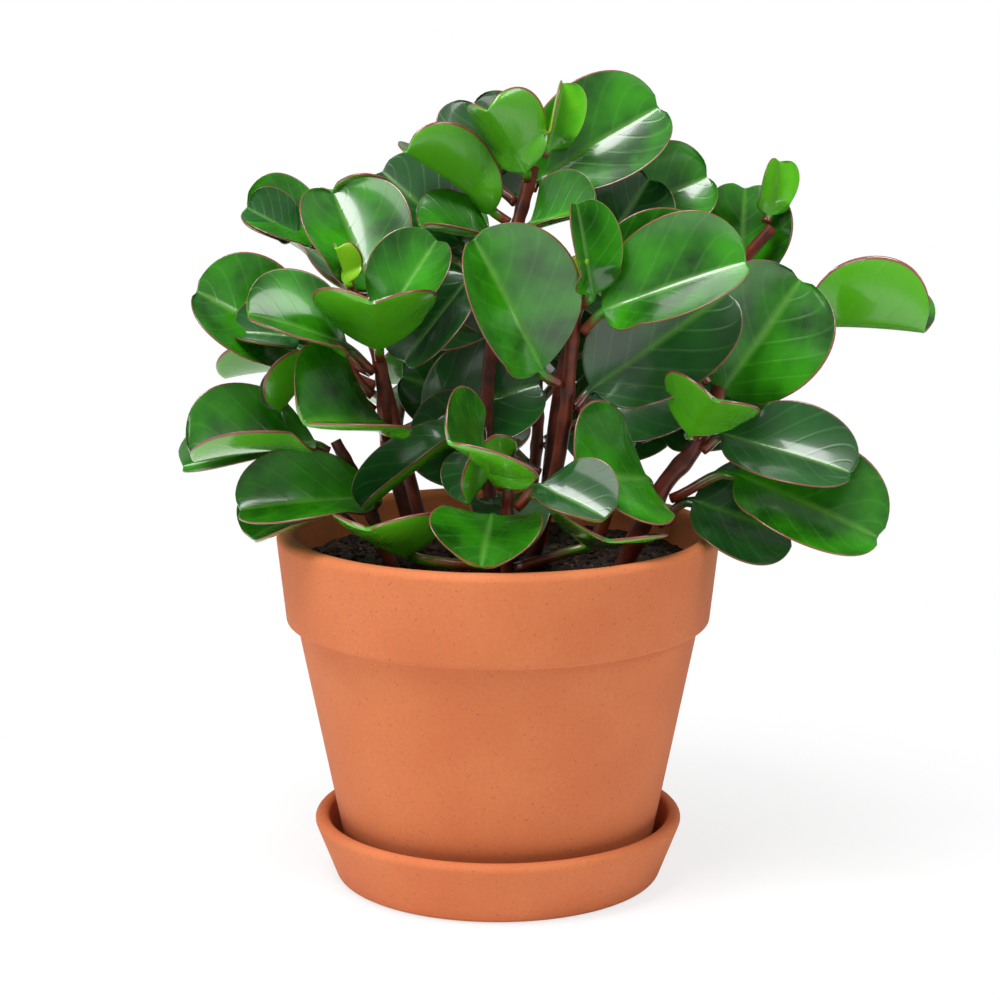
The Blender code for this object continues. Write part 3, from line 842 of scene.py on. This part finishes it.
def leaf_finishes():
    """The three leaf finishes, made the first time that leaves are grown; the shaded one is a deeper
    green, painted shade.
    """
    values = settings()
    if "waxy_leaf" not in bpy.data.materials:
        under = values.leaf_under
        waxy_leaf("waxy_leaf", 0.26, values.leaf_deep, values.leaf_bright, under)
        # A deeper green for leaves in shade: painted shade.
        waxy_leaf("deep_waxy_leaf", 0.3, values.shaded_leaf_deep, values.shaded_leaf_bright, under)
        waxy_leaf("young_waxy_leaf", 0.24, values.young_deep, values.young_bright, values.young_under)
    return bpy.data.materials


class PEPEROMIA_OT_leaves(bpy.types.Operator):
    """Grow every full leaf on its shoot"""

    bl_idname = "peperomia.leaves"
    bl_label = "Leaves"

    def execute(self, context):
        finishes = leaf_finishes()
        for shoot_name, shoot in SHOOTS.items():
            for number, leaf in enumerate(shoot.leaves, start=1):
                key = f"{shoot_name}_{number:02d}"
                # Leaves that others shade get the deeper green of painted shade.
                shaded = number in SHADED_LEAVES.get(shoot_name, ())
                material = finishes["deep_waxy_leaf" if shaded else "waxy_leaf"]
                grow_leaf("blade_" + key, shoot, leaf, material, "leaf_" + key)
        return {"FINISHED"}


class PEPEROMIA_OT_small_leaves(bpy.types.Operator):
    """Grow the young leaves in the tips and those that fill the plant between its shoots"""

    bl_idname = "peperomia.small_leaves"
    bl_label = "Small leaves"

    def execute(self, context):
        finishes = leaf_finishes()
        # The filling leaves get the deeper green of painted shade too.
        for table, material in ((YOUNG, "young_waxy_leaf"), (FILLING, "deep_waxy_leaf")):
            kind = material.split("_")[0]
            for shoot_name, leaves in table.items():
                for number, leaf in enumerate(leaves, start=1):
                    name = f"{kind}_{shoot_name}_{number:02d}"
                    grow_leaf(name, SHOOTS[shoot_name], leaf, finishes[material])
        return {"FINISHED"}


# ---- stage ----------------------------------------------------------------------------------

CAMERA_PLACE = (0, -0.9, 0.308)
CAMERA_TILT = 78.9  # degrees up from straight down

# Name, place and size in metres, and watts, of each soft lamp.
LAMPS = (
    ("window_above", (-0.3, -0.4, 1.25), 0.6, 18),
    ("window_left", (-1.1, -0.7, 0.6), 0.6, 5),
    ("window_right", (0.9, -0.5, 0.9), 0.5, 5),
)


class PEPEROMIA_OT_stage(bpy.types.Operator):
    """Set the pale floor, the soft lights and the camera"""

    bl_idname = "peperomia.stage"
    bl_label = "Stage"

    def execute(self, context):
        scene = context.scene
        scene.view_settings.view_transform = "Standard"
        self.floor()
        self.surroundings(scene)
        middle = Vector((0, 0, 0.15))
        for name, place, size, power in LAMPS:
            lamp = bpy.data.lights.new(name, "AREA")
            lamp.size, lamp.energy = size, power
            made = new_object(name, lamp)
            made.location = place
            made.rotation_euler = (middle - made.location).to_track_quat("-Z", "Y").to_euler()
        lens = bpy.data.cameras.new("front")
        lens.sensor_width = 36
        lens.lens = 97
        lens.shift_x = 0.002
        camera = new_object("front", lens)
        camera.location = CAMERA_PLACE
        camera.rotation_euler = (math.radians(CAMERA_TILT), 0, 0)
        scene.camera = camera
        return {"FINISHED"}

    def floor(self):
        mesh = bpy.data.meshes.new("floor")
        body = bmesh.new()
        bmesh.ops.create_grid(body, x_segments=1, y_segments=1, size=6)
        body.to_mesh(mesh)
        body.free()
        made = new_object("floor", mesh)
        made.location.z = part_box("saucer")[0][2] - 0.2 * MM
        mesh.materials.append(self.white_paper())

    def white_paper(self):
        """Matt white paper, uncoated."""
        # Pure white further off, where the camera looks at it, and a soft shadow near the saucer.
        material, tree, shader, place = new_finish("white_paper", 0.9, 1.4)
        shader.inputs["Base Color"].default_value = settings().paper
        away = add(tree, "ShaderNodeVectorMath", {0: place}, operation="LENGTH")
        reach = {"Value": away, "From Min": 0.08, "From Max": 0.26, "To Min": 0.74, "To Max": 1}
        glow_share = add(tree, "ShaderNodeMapRange", reach)
        seen = add(tree, "ShaderNodeLightPath").outputs["Is Camera Ray"]
        glow_share = add(tree, "ShaderNodeMath", {0: seen, 1: glow_share}, operation="MULTIPLY")
        glow = add(tree, "ShaderNodeEmission", {"Color": (1, 1, 1, 1), "Strength": 1})
        surface = add(tree, "ShaderNodeMixShader", {0: glow_share, 1: shader, 2: glow})
        tree.links.new(surface.outputs[0], tree.nodes["Material Output"].inputs["Surface"])
        return material

    def surroundings(self, scene):
        """White where the camera sees past the floor, and a soft even light on the plant."""
        world = bpy.data.worlds.new("studio")
        world.use_nodes = True
        scene.world = world
        tree = world.node_tree
        soft = tree.nodes["Background"]
        soft.inputs["Color"].default_value = (1, 1, 1, 1)
        soft.inputs["Strength"].default_value = 0.36
        white = add(tree, "ShaderNodeBackground", {"Color": (1, 1, 1, 1), "Strength": 1})
        seen = add(tree, "ShaderNodeLightPath").outputs["Is Camera Ray"]
        surface = add(tree, "ShaderNodeMixShader", {0: seen, 1: soft, 2: white})
        tree.links.new(surface.outputs[0], tree.nodes["World Output"].inputs["Surface"])


OPERATORS = (
    PEPEROMIA_OT_pot,
    PEPEROMIA_OT_saucer,
    PEPEROMIA_OT_soil,
    PEPEROMIA_OT_stems,
    PEPEROMIA_OT_leaves,
    PEPEROMIA_OT_small_leaves,
    PEPEROMIA_OT_stage,
)


class PEPEROMIA_PT_panel(bpy.types.Panel):
    """Lists the plant's pieces"""

    bl_idname = "PEPEROMIA_PT_panel"
    bl_label = "Potted peperomia"
    bl_space_type = "VIEW_3D"
    bl_region_type = "UI"
    bl_category = "Plant"

    def draw(self, context):
        for name in PeperomiaSettings.__annotations__:
            self.layout.prop(settings(), name)
        for operator in OPERATORS:
            self.layout.operator(operator.bl_idname)


CLASSES = (PeperomiaSettings, *OPERATORS, PEPEROMIA_PT_panel)


def register():
    for made in CLASSES:
        bpy.utils.register_class(made)
    setattr(bpy.types.Scene, SETTINGS, bpy.props.PointerProperty(type=PeperomiaSettings))


def unregister():
    delattr(bpy.types.Scene, SETTINGS)
    for made in reversed(CLASSES):
        bpy.utils.unregister_class(made)


def main():
    register()
    for operator in OPERATORS:
        group, name = operator.bl_idname.split(".")
        getattr(getattr(bpy.ops, group), name)()


if __name__ == "__main__":
    main()
